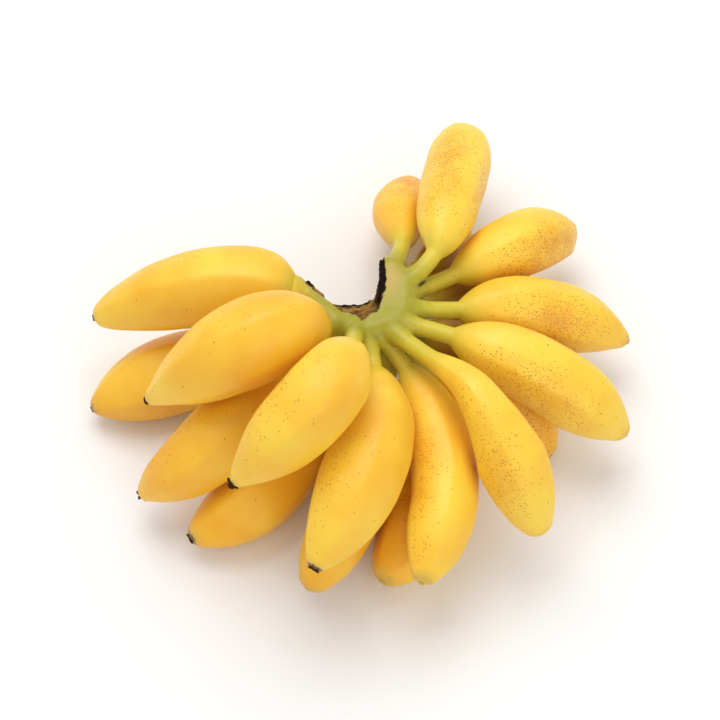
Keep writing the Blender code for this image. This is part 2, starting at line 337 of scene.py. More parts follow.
# the pentagon: between two ridges the skin is 1 / cos(angle from the middle of the face)
face = reckon(tree, "MULTIPLY", ring.outputs["Around"], 5.0)
face = reckon(tree, "WRAP", face, 0.5, -0.5)
face = reckon(tree, "MULTIPLY", face, 2 * math.pi / 5)
face = reckon(tree, "COSINE", face)
face = reckon(tree, "DIVIDE", math.cos(math.pi / 5), face)
press = ramp(tree, face, 0.81, 1.0, -1.0, 1.0)
press = reckon(tree, "MULTIPLY", press, given["Ridge"])
near = ramp(tree, kept.outputs["Past neck"], 0.0, 0.015)
far = ramp(tree, kept.outputs["Left"], 0.0, 0.006)
keen = ramp(tree, kept.outputs["Left"], 0.05, 0.01, 1.0, 1.3)
press = reckon(tree, "MULTIPLY", press, keen)
press = reckon(tree, "MULTIPLY", press, near)
press = reckon(tree, "MULTIPLY", press, far)
here = add(tree, "GeometryNodeInputPosition").outputs[0]
outward = vector(tree, "SUBTRACT", here, kept.outputs["Centre"])
away = vector(tree, "NORMALIZE", outward)
outward = vector(tree, "SCALE", outward, scale=press)
skin = add(tree, "GeometryNodeSetPosition", {"Geometry": skin.outputs[0], "Offset": outward})

# soft unevenness, as of fruit that grew pressed together
wobble = noise(tree, here, 22, 1.0)
wobble = ramp(tree, wobble, 0.25, 0.75, -0.0007, 0.0)
wobble = reckon(tree, "MULTIPLY", wobble, near)
wobble = reckon(tree, "MULTIPLY", wobble, far)
out = add(tree, "GeometryNodeInputNormal").outputs[0]
out = vector(tree, "SCALE", out, scale=wobble)
skin = add(tree, "GeometryNodeSetPosition", {"Geometry": skin.outputs[0], "Offset": out})

# what lies on the surface is flattened by it
here = add(tree, "GeometryNodeInputPosition").outputs[0]
xyz = add(tree, "ShaderNodeSeparateXYZ", {0: here}).outputs
above = reckon(tree, "MAXIMUM", xyz[2], 0.0)
above = add(tree, "ShaderNodeCombineXYZ", {0: xyz[0], 1: xyz[1], 2: above}).outputs[0]
skin = add(tree, "GeometryNodeSetPosition", {"Geometry": skin.outputs[0], "Position": above})

# which side of the finger faces its neighbour, going clockwise round the crown
clockwise = vector(tree, "CROSS_PRODUCT", kept.outputs["Way"], (0, 0, 1))
side = add(tree, VECTOR, {0: away, 1: clockwise}, operation="DOT_PRODUCT")
for label, socket in (("past_neck", kept.outputs["Past neck"]), ("to_tip", kept.outputs["Left"]),
                      ("side", side.outputs["Value"]), ("freckled", given["Freckled"]),
                      ("warmth", given["Warmth"]), ("withered", given["Withered"])):
    skin = add(tree, "GeometryNodeStoreNamedAttribute",
               {"Geometry": skin.outputs[0], "Name": label, "Value": socket},
               data_type="FLOAT", domain="POINT")
finish_tree(tree, skin, given["Finish"])
print(f"finger tree: {len(tree.nodes)} nodes")

# %% [markdown]
# ## Ripe banana peel
# Peel is a waxy, slightly translucent skin: satin, not glossy, with a warm glow where light goes
# in and comes out again. Its yellow drifts between lemon and orange, turns green on the pedicel
# and dull at the tip. Small brown freckles crowd on it in patches. Painted shade darkens it where
# a neighbour lies close, in the valleys of the crown and towards the crown on the hidden fingers.
# All of it is painted by node from where a point sits on the fruit, so it holds from every side.
# Crown and fingers share the same paint, so that no border shows.

# %% The skin materials
CROWN_MID_AT = (CROWN_AT[:2] + CROWN_MID) * MM
# how strongly living peel and dried tissue mirror the light
WAXY_SHINE, MATTE_SHINE = 0.5, 0.12


def freckles(tree, place, spacing, smallest, largest, density):
    """Round dots in cells of a given spacing in mm. The density is the share of cells with one."""
    cells = add(tree, "ShaderNodeTexVoronoi", {"Vector": place, "Scale": 1 / (spacing * MM)})
    dice = add(tree, "ShaderNodeSeparateColor", {0: cells.outputs["Color"]}).outputs
    here = reckon(tree, "LESS_THAN", dice[0], density)
    size = ramp(tree, dice[1], 0, 1, smallest / spacing, largest / spacing)
    dot = reckon(tree, "SUBTRACT", size, cells.outputs["Distance"])
    dot = ramp(tree, dot, -0.07, 0.07, smooth=True)
    shade = ramp(tree, dice[2], 0, 1, 0.4, 1.0)
    return reckon(tree, "MULTIPLY", reckon(tree, "MULTIPLY", dot, here), shade)


def attribute(tree, label):
    """A number that the mesh stores for every point."""
    return add(tree, "ShaderNodeAttribute", attribute_name=label).outputs["Fac"]


def skin(name, with_cut):
    """The fruit's skin, from crown to tip. With the cut, the dried cut of the crown as well."""
    material = bpy.data.materials.new(name)
    material.use_nodes = True
    t = material.node_tree
    t.nodes.clear()
    place = add(t, "ShaderNodeTexCoord").outputs["Object"]
    past, to_tip = attribute(t, "past_neck"), attribute(t, "to_tip")
    freckled, warmth = attribute(t, "freckled"), attribute(t, "warmth")
    patch = noise(t, place, 9)

    # the yellow drifts in patches 26 mm wide, between lemon and orange
    drift = reckon(t, "MULTIPLY_ADD", warmth, 0.4, noise(t, place, 26))
    colour = blend(t, ramp(t, drift, 0.3, 0.95), "FCD344", "F2AC1A")

    # painted shade: flanks close to a neighbour are tinged orange, standing in for shadow and
    # bounce light, and where they touch the peel gets a painted dark brown shadow line
    gap = reckon(t, "MULTIPLY_ADD", patch, 0.002, attribute(t, "gap"))
    contact_shade = reckon(t, "MULTIPLY", ramp(t, gap, 0.0075, 0.002, smooth=True),
                    ramp(t, past, 0.002, 0.014))
    colour = blend(t, reckon(t, "MULTIPLY", contact_shade, 0.6), colour, "DB841C")
    rubbed = reckon(t, "MULTIPLY", ramp(t, freckled, 0.2, 1.0, 0.0, 0.55),
                    ramp(t, patch, 0.3, 0.65))
    colour = blend(t, rubbed, colour, "E0922A")
    # painted shade: the contact line itself, dark brown where the gap closes
    crease_shade = ramp(t, attribute(t, "gap"), 0.0028, 0.0005, 0.0, 0.9, smooth=True)
    colour = blend(t, crease_shade, colour, "8A400C")

    # painted shade: fingers hidden in the dark of the hand are darkened to brown towards the crown
    colour = blend(t, attribute(t, "browned"), colour, "8A4E12")

    # green pedicels that fade into the shoulder, greener still on the crown itself
    edge = reckon(t, "MULTIPLY_ADD", patch, 0.012, past)
    colour = blend(t, ramp(t, edge, 0.022, -0.002, smooth=True), colour, "CFBE36")
    spot = vector(t, "MULTIPLY", place, (1, 1, 0))
    spot = add(t, VECTOR, {0: spot, 1: (*CROWN_MID_AT, 0)}, operation="DISTANCE")
    spot = reckon(t, "MULTIPLY_ADD", patch, 0.006, spot.outputs["Value"])
    colour = blend(t, ramp(t, spot, 0.036, 0.021, 0.0, 0.85, smooth=True), colour, "9B951D")

    # the last millimetres are dull, and burnt where the flower dried black
    tip = reckon(t, "MULTIPLY_ADD", patch, 0.006, to_tip)
    colour = blend(t, ramp(t, tip, 0.0085, 0.003, 0.0, 0.6, smooth=True), colour, "CDA94C")
    burnt = reckon(t, "MULTIPLY_ADD", noise(t, place, 2.5), 0.003, to_tip)
    burnt = reckon(t, "MULTIPLY", ramp(t, burnt, 0.0036, 0.0022, smooth=True),
                   attribute(t, "withered"))
    colour = blend(t, burnt, colour, "5A3D1C")

    # freckles: a fine dust of them in crowds, and a few larger ones
    stir = add(t, NOISE, {"Vector": place, "Scale": 900.0}).outputs["Color"]
    stirred = vector(t, "ADD", place, vector(t, "SCALE", stir, scale=0.0007))
    crowd = reckon(t, "MULTIPLY", ramp(t, noise(t, place, 10), 0.34, 0.55, 0.4, 1.0), freckled)
    crowd = reckon(t, "MULTIPLY", crowd, ramp(t, past, 0.004, 0.02))
    dust = freckles(t, stirred, 0.85, 0.2, 0.4, reckon(t, "MULTIPLY", crowd, 1.3))
    colour = blend(t, reckon(t, "MULTIPLY", dust, 0.85), colour, "B06C1A")
    few = reckon(t, "MULTIPLY_ADD", crowd, 0.22, 0.025)
    dots = freckles(t, stirred, 2.0, 0.22, 0.42, few)
    colour = blend(t, reckon(t, "MULTIPLY", dots, 0.8), colour, "93520F")

    grain, dents = noise(t, place, 0.7, 3.0), noise(t, place, 6)
    relief = reckon(t, "MULTIPLY_ADD", grain, 0.12, dents)
    rough = ramp(t, dents, 0.3, 0.7, 0.36, 0.5)
    shine = WAXY_SHINE
    if with_cut:
        colour, rough, relief, shine = dried_cut(t, place, colour, rough, relief)
    bump = add(t, "ShaderNodeBump", {"Height": relief, "Strength": 0.3, "Distance": 0.0004})
    wax = add(t, "ShaderNodeBsdfPrincipled",
              {"Base Color": colour, "Roughness": rough, "Normal": bump.outputs[0], "IOR": 1.46,
               "Specular IOR Level": shine,
               "Subsurface Weight": 0.12, "Subsurface Radius": (1.0, 0.45, 0.1),
               "Subsurface Scale": 0.004})
    add(t, "ShaderNodeOutputMaterial", {0: wax.outputs[0]})
    print(f"{name}: {len(t.nodes)} nodes")
    return material


def dried_cut(t, place, colour, rough, relief):
    """Brown dried flesh on the cut, with a near black rim, and dull scarred skin beside it."""
    depth, black = attribute(t, "cut"), attribute(t, "black")
    mottled = ramp(t, noise(t, place, 2.6, 3.0), 0.45, 0.7, 0.0, 0.25)
    colour = blend(t, mottled, colour, "7F8420")
    colour = blend(t, attribute(t, "scar"), colour, "C5A552")
    # painted shade: olive brown in the valleys between the pedicels
    colour = blend(t, attribute(t, "valley"), colour, "7E6218")
    colour = blend(t, attribute(t, "scratch"), colour, "20130B")
    fray = noise(t, place, 1.3, 3.0)
    ragged = reckon(t, "MULTIPLY_ADD", fray, 0.7, depth)
    tone = reckon(t, "MULTIPLY_ADD", fray, 0.35, noise(t, place, 5))
    flesh = blend(t, ramp(t, tone, 0.5, 0.85), "5C3413", "A17A35")
    flesh = blend(t, black, flesh, "180D07")
    rim = reckon(t, "MULTIPLY", ramp(t, ragged, 1.6, 1.1), ramp(t, ragged, 0.7, 1.0))
    dried = ramp(t, ragged, 1.3, 0.9)
    colour = blend(t, dried, colour, flesh)
    colour = blend(t, reckon(t, "MULTIPLY", rim, 0.6), colour, "3A2410")
    rough = reckon(t, "MAXIMUM", rough, ramp(t, dried, 0, 1, 0, 0.8))
    relief = reckon(t, "MULTIPLY_ADD", reckon(t, "MULTIPLY", fray, dried), 1.6, relief)
    return colour, rough, relief, ramp(t, dried, 0, 1, WAXY_SHINE, MATTE_SHINE)


peel = skin("Ripe banana peel, satin and waxy", False)
crown_skin = skin("Green banana crown with a dried cut", True)

# %% [markdown]
# ## Growing the fingers
# Each line becomes a curve object with the tree as its modifier. The evaluated result is kept
# as a plain mesh at the origin, so the curve and the modifier can go.

# %% Grow each finger


def run_tree(source, group, values):
    """Give an object a node tree, set its inputs by name and return the mesh it makes."""
    modifier = source.modifiers.new(group.name, "NODES")
    modifier.node_group = group
    for item in group.interface.items_tree:
        if item.in_out == "INPUT" and item.name in values:
            modifier[item.identifier] = values[item.name]
    bpy.context.view_layer.update()
    seen = source.evaluated_get(bpy.context.evaluated_depsgraph_get())
    return bpy.data.meshes.new_from_object(seen)


# how long and wide the withered flower end is in mm, its lobes and how dark it is (0 to 1)
WITHERED = {
    "near_finger_01": (0.6, 3.0, 4, 0.4), "near_finger_02": (1.0, 3.4, 2, 0.8),
    "near_finger_03": (1.0, 5.0, 3, 1.0), "near_finger_04": (0.2, 4.8, 5, 1.0),
    "far_finger_01": (0.3, 2.8, 4, 0.5), "far_finger_02": (0.4, 4.6, 5, 0.95),
    "far_finger_03": (0.3, 4.0, 2, 0.9),
}
# the other fingers have a small pale scar, and some of them end blunt
PLAIN_END = (0.25, 2.6, 5, 0.12)
BLUNT = 6.2
RIDGE, SOFT_RIDGE = 0.03, 0.014
SOFT_RIDGED = ("near_finger_10", "near_finger_11")
BLUNT_ENDED = ("near_finger_05", "near_finger_06", "near_finger_07", "far_finger_04")


def sleeve_end(name):
    """How far along a finger's line the crown's skin reaches, in mm."""
    return min(18.0, LINES[name][2][1] + 4)


# a finger starts inside the crown's skin, and each is turned a little further than the last
SUNK_SHARE, TURN_STEP = 0.35, 0.4
fingers = []
for number, (name, numbers) in enumerate(FINGERS.items()):
    width, fullest, shoulder, taper, _, freckles_here, warm = numbers[3:]
    path, distance, knots = LINES[name]
    start = SUNK_SHARE * sleeve_end(name)
    steps = np.linspace(start, distance[-1], 240)
    path = np.stack([np.interp(steps, distance, path[:, k]) for k in range(3)], axis=1)
    curve = bpy.data.curves.new(name + "_line", "CURVE")
    curve.dimensions = "3D"
    spline = curve.splines.new("POLY")
    spline.points.add(len(path) - 1)
    for point, at in zip(spline.points, (path + CROWN_AT) * MM):
        point.co = (*at, 1)
    guide = bpy.data.objects.new(name + "_line", curve)
    scene.collection.objects.link(guide)
    mesh = run_tree(guide, tree, {"Width": width * MM, "Fullest": fullest, "Shoulder": shoulder,
                                  "Taper": taper, "Neck": knots[1] * MM, "Start": start * MM,
                                  "Nub Width": (BLUNT if name in BLUNT_ENDED else NUB) * MM,
                                  "Ridge": SOFT_RIDGE if name in SOFT_RIDGED else RIDGE,
                                  "Turn": TURN_STEP * number, "Finish": peel,
                                  "Freckled": freckles_here, "Warmth": warm,
                                  "Withered": WITHERED.get(name, PLAIN_END)[3]})
    bpy.data.objects.remove(guide, do_unlink=True)
    finger = bpy.data.objects.new("peel_" + name, mesh)
    scene.collection.objects.link(finger)
    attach(finger, "root")
    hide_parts(name)
    fingers.append(finger)
print(f"{len(fingers)} fingers, {sum(len(f.data.polygons) for f in fingers)} faces")

# %% [markdown]
# ## Where fingers press together, and where they freckle
# The peel is painted with shade along the line where two fingers meet, standing in for the
# shadow and bounce light between them. The gap to the nearest other finger is measured at every
# point and stored for the paint. Three fingers hidden in the dark of the hand get painted shade
# towards the crown. Freckles crowd in one patch on a finger, most of them on the right-hand side
# of the hand.

# %% Measure the gaps, place the freckles
WIDEST_GAP = 9 * MM
# the middle of a finger's patch of freckles: side (-1 to 1) and share of the body (0 to 1)
PATCHES = {
    "near_finger_07": (0.8, 0.4), "near_finger_08": (0.6, 0.5), "near_finger_09": (0.7, 0.6),
    "near_finger_10": (-0.2, 0.5), "near_finger_11": (0.0, 0.6), "far_finger_06": (0.3, 0.8),
}
USUAL_PATCH = (0.6, 0.6)
# fingers that sit in the dark of the hand, and how strong the painted shade on them is
HIDDEN, HAND_SHADE_DEPTH = ("far_finger_07", "far_finger_08", "far_finger_09"), 0.8


def read(mesh, label):
    """A stored attribute of every point as an array."""
    values = np.zeros(len(mesh.vertices), np.float32)
    mesh.attributes[label].data.foreach_get("value", values)
    return values


def store(mesh, label, values):
    """Store one number for every point."""
    made = mesh.attributes.get(label) or mesh.attributes.new(label, "FLOAT", "POINT")
    made.data.foreach_set("value", np.asarray(values, np.float32))


places, shapes = [], []
for finger in fingers:
    mesh = finger.data
    at = np.zeros(len(mesh.vertices) * 3)
    mesh.vertices.foreach_get("co", at)
    places.append(at.reshape(-1, 3))
    shapes.append(BVHTree.FromPolygons([v.co for v in mesh.vertices],
                                       [p.vertices for p in mesh.polygons]))
for number, finger in enumerate(fingers):
    mesh, at = finger.data, places[number]
    gap = np.full(len(at), WIDEST_GAP)
    for other, shape in enumerate(shapes):
        low, high = places[other].min(axis=0) - WIDEST_GAP, places[other].max(axis=0) + WIDEST_GAP
        close = np.flatnonzero(np.all((at > low) & (at < high), axis=1))
        if other != number:
            for k in close:
                found = shape.find_nearest(at[k], gap[k])[3]
                gap[k] = gap[k] if found is None else min(gap[k], found)
    store(mesh, "gap", gap)
    to_side, to_share = PATCHES.get(finger.name[5:], USUAL_PATCH)
    past_neck, to_tip = read(mesh, "past_neck"), read(mesh, "to_tip")
    share = past_neck / np.maximum(past_neck + to_tip, MM)
    patch = np.exp(-((read(mesh, "side") - to_side) / 0.55) ** 2 - ((share - to_share) / 0.3) ** 2)
    edge = np.exp(-((read(mesh, "side") - 1) / 0.3) ** 2 - ((share - 0.45) / 0.3) ** 2)
    store(mesh, "freckled", read(mesh, "freckled") * np.maximum(patch, edge))
    hidden = finger.name[5:] in HIDDEN
    # painted shade on the hidden fingers, full near the crown and fading along the body
    store(mesh, "browned", HAND_SHADE_DEPTH * hidden * np.clip(1.6 - past_neck / (25 * MM), 0, 1))
touching = sum(int((read(f.data, "gap") < 1 * MM).sum()) for f in fingers)
print(f"{touching} points within 1 mm of another finger")

# %% [markdown]
# ## The crown, melted together
# On the real fruit there is no seam between crown and pedicel: they are one living tissue, so
# the valleys between pedicels are soft webs. Joining solids would leave hard creases. Instead
# the crown is written as a field of distances: a cushion and all pedicels, melted where they
# come close, less the hollow where the stalk was cut away. The skin is where the field is zero.

# %% The crown's field
CROWN_OUTLINE = np.array([(-25, 19), (-23, 10), (-18, 2), (-11.5, -5), (-3, -9.5), (7, -8.5),
                          (14, -3), (17.5, 5), (18, 15), (15, 23), (9, 28), (-5, 30), (-18, 27)],
                         float)
CROWN_TOP, CROWN_BOTTOM, CROWN_ROUNDING = 6.0, -21.0, 4.0
CUT_AT, CUT_RADIUS, CUT_SLOPE = np.array([-11.5, 26.0]), 16.5, math.radians(50)
MELT = 1.0


def closed_curve(points, steps=6):
    """A smooth closed line through the points."""
    a, b, c, d = (np.roll(points, k, axis=0)[:, None] for k in (1, 0, -1, -2))
    t = (np.arange(steps) / steps)[None, :, None]
    line = b + 0.5 * t * (c - a + t * (2 * a - 5 * b + 4 * c - d + t * (3 * (b - c) + d - a)))
    return line.reshape(-1, 2)


def ripple(p, size, seed):
    """Smooth noise between about -1 and 1, made of eight waves in fixed directions."""
    dice = np.random.default_rng(seed)
    ways = dice.normal(size=(8, 3))
    ways *= (2 * math.pi / size * dice.uniform(0.6, 1.6, 8) / np.linalg.norm(ways, axis=1))[:, None]
    return np.sin(p @ ways.T + dice.uniform(0, 6.28, 8)).mean(axis=1) * 2


def radius_of(name, s):
    """The finger's radius in mm at a distance along its line, as in the node tree."""
    width, fullest, shoulder = FINGERS[name][3:6]
    run, knots = LINES[name][1:]
    t = np.clip((s - knots[1]) / (run[-1] - knots[1]), 0, 1)
    rise = 1 - (1 - np.clip(t / fullest, 0, 1)) ** shoulder
    return (PEDICEL + (width - PEDICEL) * rise) / 2


OUTLINE = closed_curve(CROWN_OUTLINE)
# pedicels of the far row that are stouter than the rule, in mm
STOUTER = {"far_finger_05": 2.5, "far_finger_08": 3.0}
SLEEVES = {}
for name, (path, run, knots) in LINES.items():
    end = sleeve_end(name)
    s = np.arange(0, end, 0.5)
    ease = 0.5 - 1.7 * (s / end) ** 3 + STOUTER.get(name, 0) * (1 - (s / end) ** 4)
    centres = np.stack([np.interp(s, run, path[:, k]) for k in range(3)], axis=1)
    SLEEVES[name] = (centres, radius_of(name, s) + ease, s - knots[1])


def outline_distance(p):
    """Distance to the crown's outline in plan, negative inside."""
    a, b = OUTLINE, np.roll(OUTLINE, -1, axis=0)
    best, crossings = np.full(len(p), 1e9), np.zeros(len(p), int)
    for (x0, y0), (x1, y1) in zip(a, b):
        dx, dy = x1 - x0, y1 - y0
        t = np.clip(((p[:, 0] - x0) * dx + (p[:, 1] - y0) * dy) / (dx * dx + dy * dy), 0, 1)
        best = np.minimum(best, np.hypot(p[:, 0] - x0 - t * dx, p[:, 1] - y0 - t * dy))
        if dy:
            spans = (y0 > p[:, 1]) != (y1 > p[:, 1])
            crossings += spans & (p[:, 0] < dx * (p[:, 1] - y0) / dy + x0)
    return np.where(crossings % 2, -best, best)


def squarish(a, b, power=3):
    """The reach of a rounded square: between a circle (power 2) and a square."""
    return (np.abs(a) ** power + np.abs(b) ** power) ** (1 / power)


def cut_distance(p):
    """Distance to the wall of the stalk's cut, positive inside the hollow."""
    upright = CUT_RADIUS - squarish(p[:, 0] - CUT_AT[0], p[:, 1] - CUT_AT[1])
    axis_y = CROWN_TOP - 8 + CUT_RADIUS / math.cos(CUT_SLOPE)
    dy, dz = p[:, 1] - axis_y, p[:, 2] - (CROWN_TOP - 1)
    lean = CUT_RADIUS - squarish(p[:, 0] - CUT_AT[0],
                                 dy * math.cos(CUT_SLOPE) + dz * math.sin(CUT_SLOPE))
    return np.maximum(upright, lean) + 0.5 * ripple(p, 5, 3) + 0.25 * ripple(p, 1.8, 4)


# the dried rim that stands up along the right wall of the cut, and the left horn: x, y, z, radius
RIM = [[(4.1, 24.8, 6.0, 0.9), (4.2, 21, 5.6, 1.2), (4.2, 16, 5.2, 1.2), (3.1, 11, 4.8, 1.1),
        (1.8, 6.5, 4.2, 0.9)],
       [(-21.5, 9.0, 3.0, 1.1), (-25.0, 12.2, 3.5, 1.0), (-27.8, 15.6, 4.5, 0.6)]]
# the green slope from the left horn down to the collar of near_finger_02: x, y, z, radius
SLOPE = [[(-28.0, 10.5, 5.0, 1.7), (-24.5, 6.0, 5.0, 3.0), (-20.0, 0.5, 5.0, 4.3),
          (-15.5, -4.6, 4.3, 4.7), (-8.5, -5.6, 3.0, 3.8), (-3.5, -6.5, 2.0, 3.0)]]


def thickened(parts):
    """Lines with a radius at each corner as a chain of close points."""
    return np.concatenate([
        np.stack([np.interp(np.linspace(0, len(part) - 1, 60), range(len(part)), column)
                  for column in zip(*part)], axis=1) for part in parts])


RIM_POINTS, SLOPE_POINTS = thickened(RIM), thickened(SLOPE)


def chain_distance(p, chain):
    """Distance to a chain of round beads."""
    return (np.linalg.norm(p[:, None] - chain[None, :, :3], axis=2) - chain[:, 3]).min(axis=1)


def crown_field(p):
    """Distance to the crown's skin in mm, negative inside."""
    top = CROWN_TOP + 0.4 * ripple(p * (1, 1, 0), 16, 5)
    middle, half = (top + CROWN_BOTTOM) / 2, (top - CROWN_BOTTOM) / 2
    side = outline_distance(p) + CROWN_ROUNDING
    level = np.abs(p[:, 2] - middle) - half + CROWN_ROUNDING
    slab = np.hypot(np.maximum(side, 0), np.maximum(level, 0)) - CROWN_ROUNDING
    slab += np.minimum(np.maximum(side, level), 0)
    melted = np.exp(-slab / MELT)
    for centres, radii, _ in SLEEVES.values():
        reach = radii.max() + 6
        close = np.all((p > centres.min(axis=0) - reach)
                       & (p < centres.max(axis=0) + reach), axis=1)
        if close.any():
            gaps = np.linalg.norm(p[close][:, None] - centres[None], axis=2) - radii
            melted[close] += np.exp(-gaps.min(axis=1) / MELT)
    whole = np.maximum(-MELT * np.log(melted), cut_distance(p))
    slope = chain_distance(p, SLOPE_POINTS)
    whole = -MELT * np.log(np.exp(-whole / MELT) + np.exp(-slope / MELT))
    return np.minimum(whole, chain_distance(p, RIM_POINTS) + 0.2 * ripple(p, 2.2, 9))


print(f"outline of {len(OUTLINE)} points, {len(SLEEVES)} pedicels")

# %% [markdown]
# ## From field to skin
# Space is divided into small cells. Each cell that the skin passes gets one point, neighbours are
# joined to four-sided faces, and the points are then pulled onto the exact zero of the field.
# The result is one closed, even mesh.

# %% Mesh the crown
# the size of a cell in mm, and how many points the field is asked for at once
PITCH, BATCH = 0.7, 40000


def surface_net(field, low, high, pitch):
    """Points and four-sided faces on the border between inside and outside of a field."""
    axes = [np.arange(a, b + pitch, pitch) for a, b in zip(low, high)]
    grid = np.stack(np.meshgrid(*axes, indexing="ij"), axis=-1)
    rough = grid[::4, ::4, ::4]
    near = field(rough.reshape(-1, 3)).reshape(rough.shape[:3])
    for axis, axis_points in enumerate(axes):
        nearest = np.minimum((np.arange(len(axis_points)) + 2) // 4, near.shape[axis] - 1)
        near = np.take(near, nearest, axis)
    inside = near < 0
    close = np.abs(near) < 6 * pitch
    flat = grid[close]
    inside[close] = np.concatenate([field(flat[i:i + BATCH])
                                    for i in range(0, len(flat), BATCH)]) < 0
    corners = sum(inside[x:x - 1 or None, y:y - 1 or None, z:z - 1 or None].astype(int)
                  for x in (0, 1) for y in (0, 1) for z in (0, 1))
    live = (corners > 0) & (corners < 8)
    index = np.full(live.shape, -1)
    index[live] = np.arange(live.sum())
    quads = []
    for axis in range(3):
        first = np.take(inside, range(inside.shape[axis] - 1), axis)
        second = np.take(inside, range(1, inside.shape[axis]), axis)
        at = np.argwhere(first != second)
        u, v = np.eye(3, dtype=int)[[(axis + 1) % 3, (axis + 2) % 3]]
        quad = np.stack([index[tuple(c.T)] for c in (at - u - v, at - v, at, at - u)], axis=1)
        turned = ~first[tuple(at.T)]
        quad[turned] = quad[turned, ::-1]
        quads.append(quad)
    return grid[:-1, :-1, :-1][live] + pitch / 2, np.concatenate(quads)


def settle(points, quads, field, rounds):
    """Even the points out and pull them onto the field's zero, a few times."""
    for step in range(rounds):
        total, count = np.zeros_like(points), np.zeros(len(points))
        for k in range(4):
            np.add.at(total, quads[:, k], points[quads[:, (k + 1) % 4]])
            np.add.at(total, quads[:, k], points[quads[:, k - 1]])
            np.add.at(count, quads[:, k], 2)
        points = points + 0.6 * (total / count[:, None] - points)
        for _ in range(2):
            here = field(points)
            slope = np.stack([field(points + d) - field(points - d) for d in 0.05 * np.eye(3)],
                             axis=1) / 0.1
            strength = np.maximum((slope ** 2).sum(axis=1), 0.2)
            points = points - slope * np.clip(here, -0.5, 0.5)[:, None] / strength[:, None]
    return points


reach = np.concatenate([s[0] for s in SLEEVES.values()])
widest = max(s[1].max() for s in SLEEVES.values()) + 2
points, quads = surface_net(crown_field, reach.min(axis=0) - widest,
                            np.maximum(reach.max(axis=0) + widest, (24, 36, 14)), PITCH)
points = settle(points, quads, crown_field, 3)
crown_mesh = bpy.data.meshes.new("crown_skin")
crown_mesh.from_pydata((points + CROWN_AT) * MM, [], quads.tolist())
crown_mesh.update()
crown_mesh.polygons.foreach_set("use_smooth", [True] * len(quads))

gaps = np.stack([(np.linalg.norm(points[:, None] - centres[None], axis=2) - radii).min(axis=1)
                 for centres, radii, _ in SLEEVES.values()], axis=1)
owner = gaps.argmin(axis=1)
two = np.sort(gaps, axis=1)[:, :2]
along, warm = np.zeros(len(points)), np.zeros(len(points))
for number, (name, (centres, radii, past_neck)) in enumerate(SLEEVES.items()):
    mine = owner == number
    best = (np.linalg.norm(points[mine][:, None] - centres[None], axis=2) - radii).argmin(axis=1)
    along[mine] = past_neck[best]
    warm[mine] = FINGERS[name][-1]
# the crown round the hidden fingers' pedicels carries their painted shade as well
hidden = np.isin(owner, [number for number, name in enumerate(SLEEVES) if name in HIDDEN])
cut_depth = -cut_distance(points)
cut_depth = np.maximum(cut_depth, 3 - 2 * np.maximum(chain_distance(points, SLOPE_POINTS), 0))
rim_gap = chain_distance(points, RIM_POINTS)
cut_depth = np.where(rim_gap < 0.35, 0, cut_depth)
x, y, z = points.T
black = np.clip(np.maximum((x + 1) / 4, (-1.5 - z) / 2), 0, 1)
black *= 1 - 0.45 * np.clip((-5 - z) / 3, 0, 1)
black = np.where((rim_gap < 0.35) & (x < -20), np.clip((y - 12) / 2, 0, 1), black)
scar = 0.8 * np.exp(-((x - 8) / 5) ** 2 - ((y - 16) / 8) ** 2) * np.clip(z, 0, 1)
beside = np.exp(-(np.maximum(chain_distance(points, RIM_POINTS), 0) / 2.5) ** 2)
scar = np.maximum(scar, beside * np.clip((-13 - x) / 6, 0, 1))
# painted shade in the valleys where two pedicels meet, darker lower down
valley = np.clip(1 - two[:, 1] / 1.6, 0, 1) * np.clip((20 - z) / 16, 0, 1)
# a short black scratch on top of the pedicel of near_finger_09, in the picture's x and up
SCRATCH = ((20.8, 23, 25.3), (14.6, 15.9, 16.7), (0.7, 0.6, 0.3))
scratched = np.stack([np.interp(np.linspace(0, 2, 20), range(3), column)
                      for column in SCRATCH], axis=1)
seen = np.stack([x, y * picture_up[1] + z * picture_up[2]], axis=1)
scratch = chain_distance(np.column_stack([seen, np.zeros(len(seen))]),
                         scratched[:, [0, 1, 2, 2]] * (1, 1, 0, 1))
scratch = np.clip(0.5 - (scratch + 0.3 * ripple(points, 1.5, 12)) / 0.6, 0, 1) * (z > -6)
valley *= np.clip((np.hypot(x - CROWN_MID[0], y - CROWN_MID[1]) - 17) / 4, 0, 1)
for label, values in (("past_neck", along * MM), ("warmth", warm), ("cut", cut_depth),
                      ("black", black), ("scar", scar), ("valley", 0.8 * valley),
                      ("scratch", scratch), ("to_tip", np.full(len(points), 0.1)),
                      ("gap", np.full(len(points), WIDEST_GAP)),
                      ("browned", HAND_SHADE_DEPTH * hidden * np.clip(along / 8 + 1, 0, 1))):
    store(crown_mesh, label, values)
crown = bpy.data.objects.new("crown_skin", crown_mesh)
scene.collection.objects.link(crown)
crown_mesh.materials.append(crown_skin)
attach(crown, "root")
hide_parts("crown")
print(f"crown: {len(points)} points, {len(quads)} faces")

# %% [markdown]
# ## Withered flower ends
# The flower dries off at the tip and leaves a brittle brown stub, on some fingers an open star of
# lobes, on others a bare ring. A short curve gives the direction, the profile opens into lobes,
# and noise frays it.

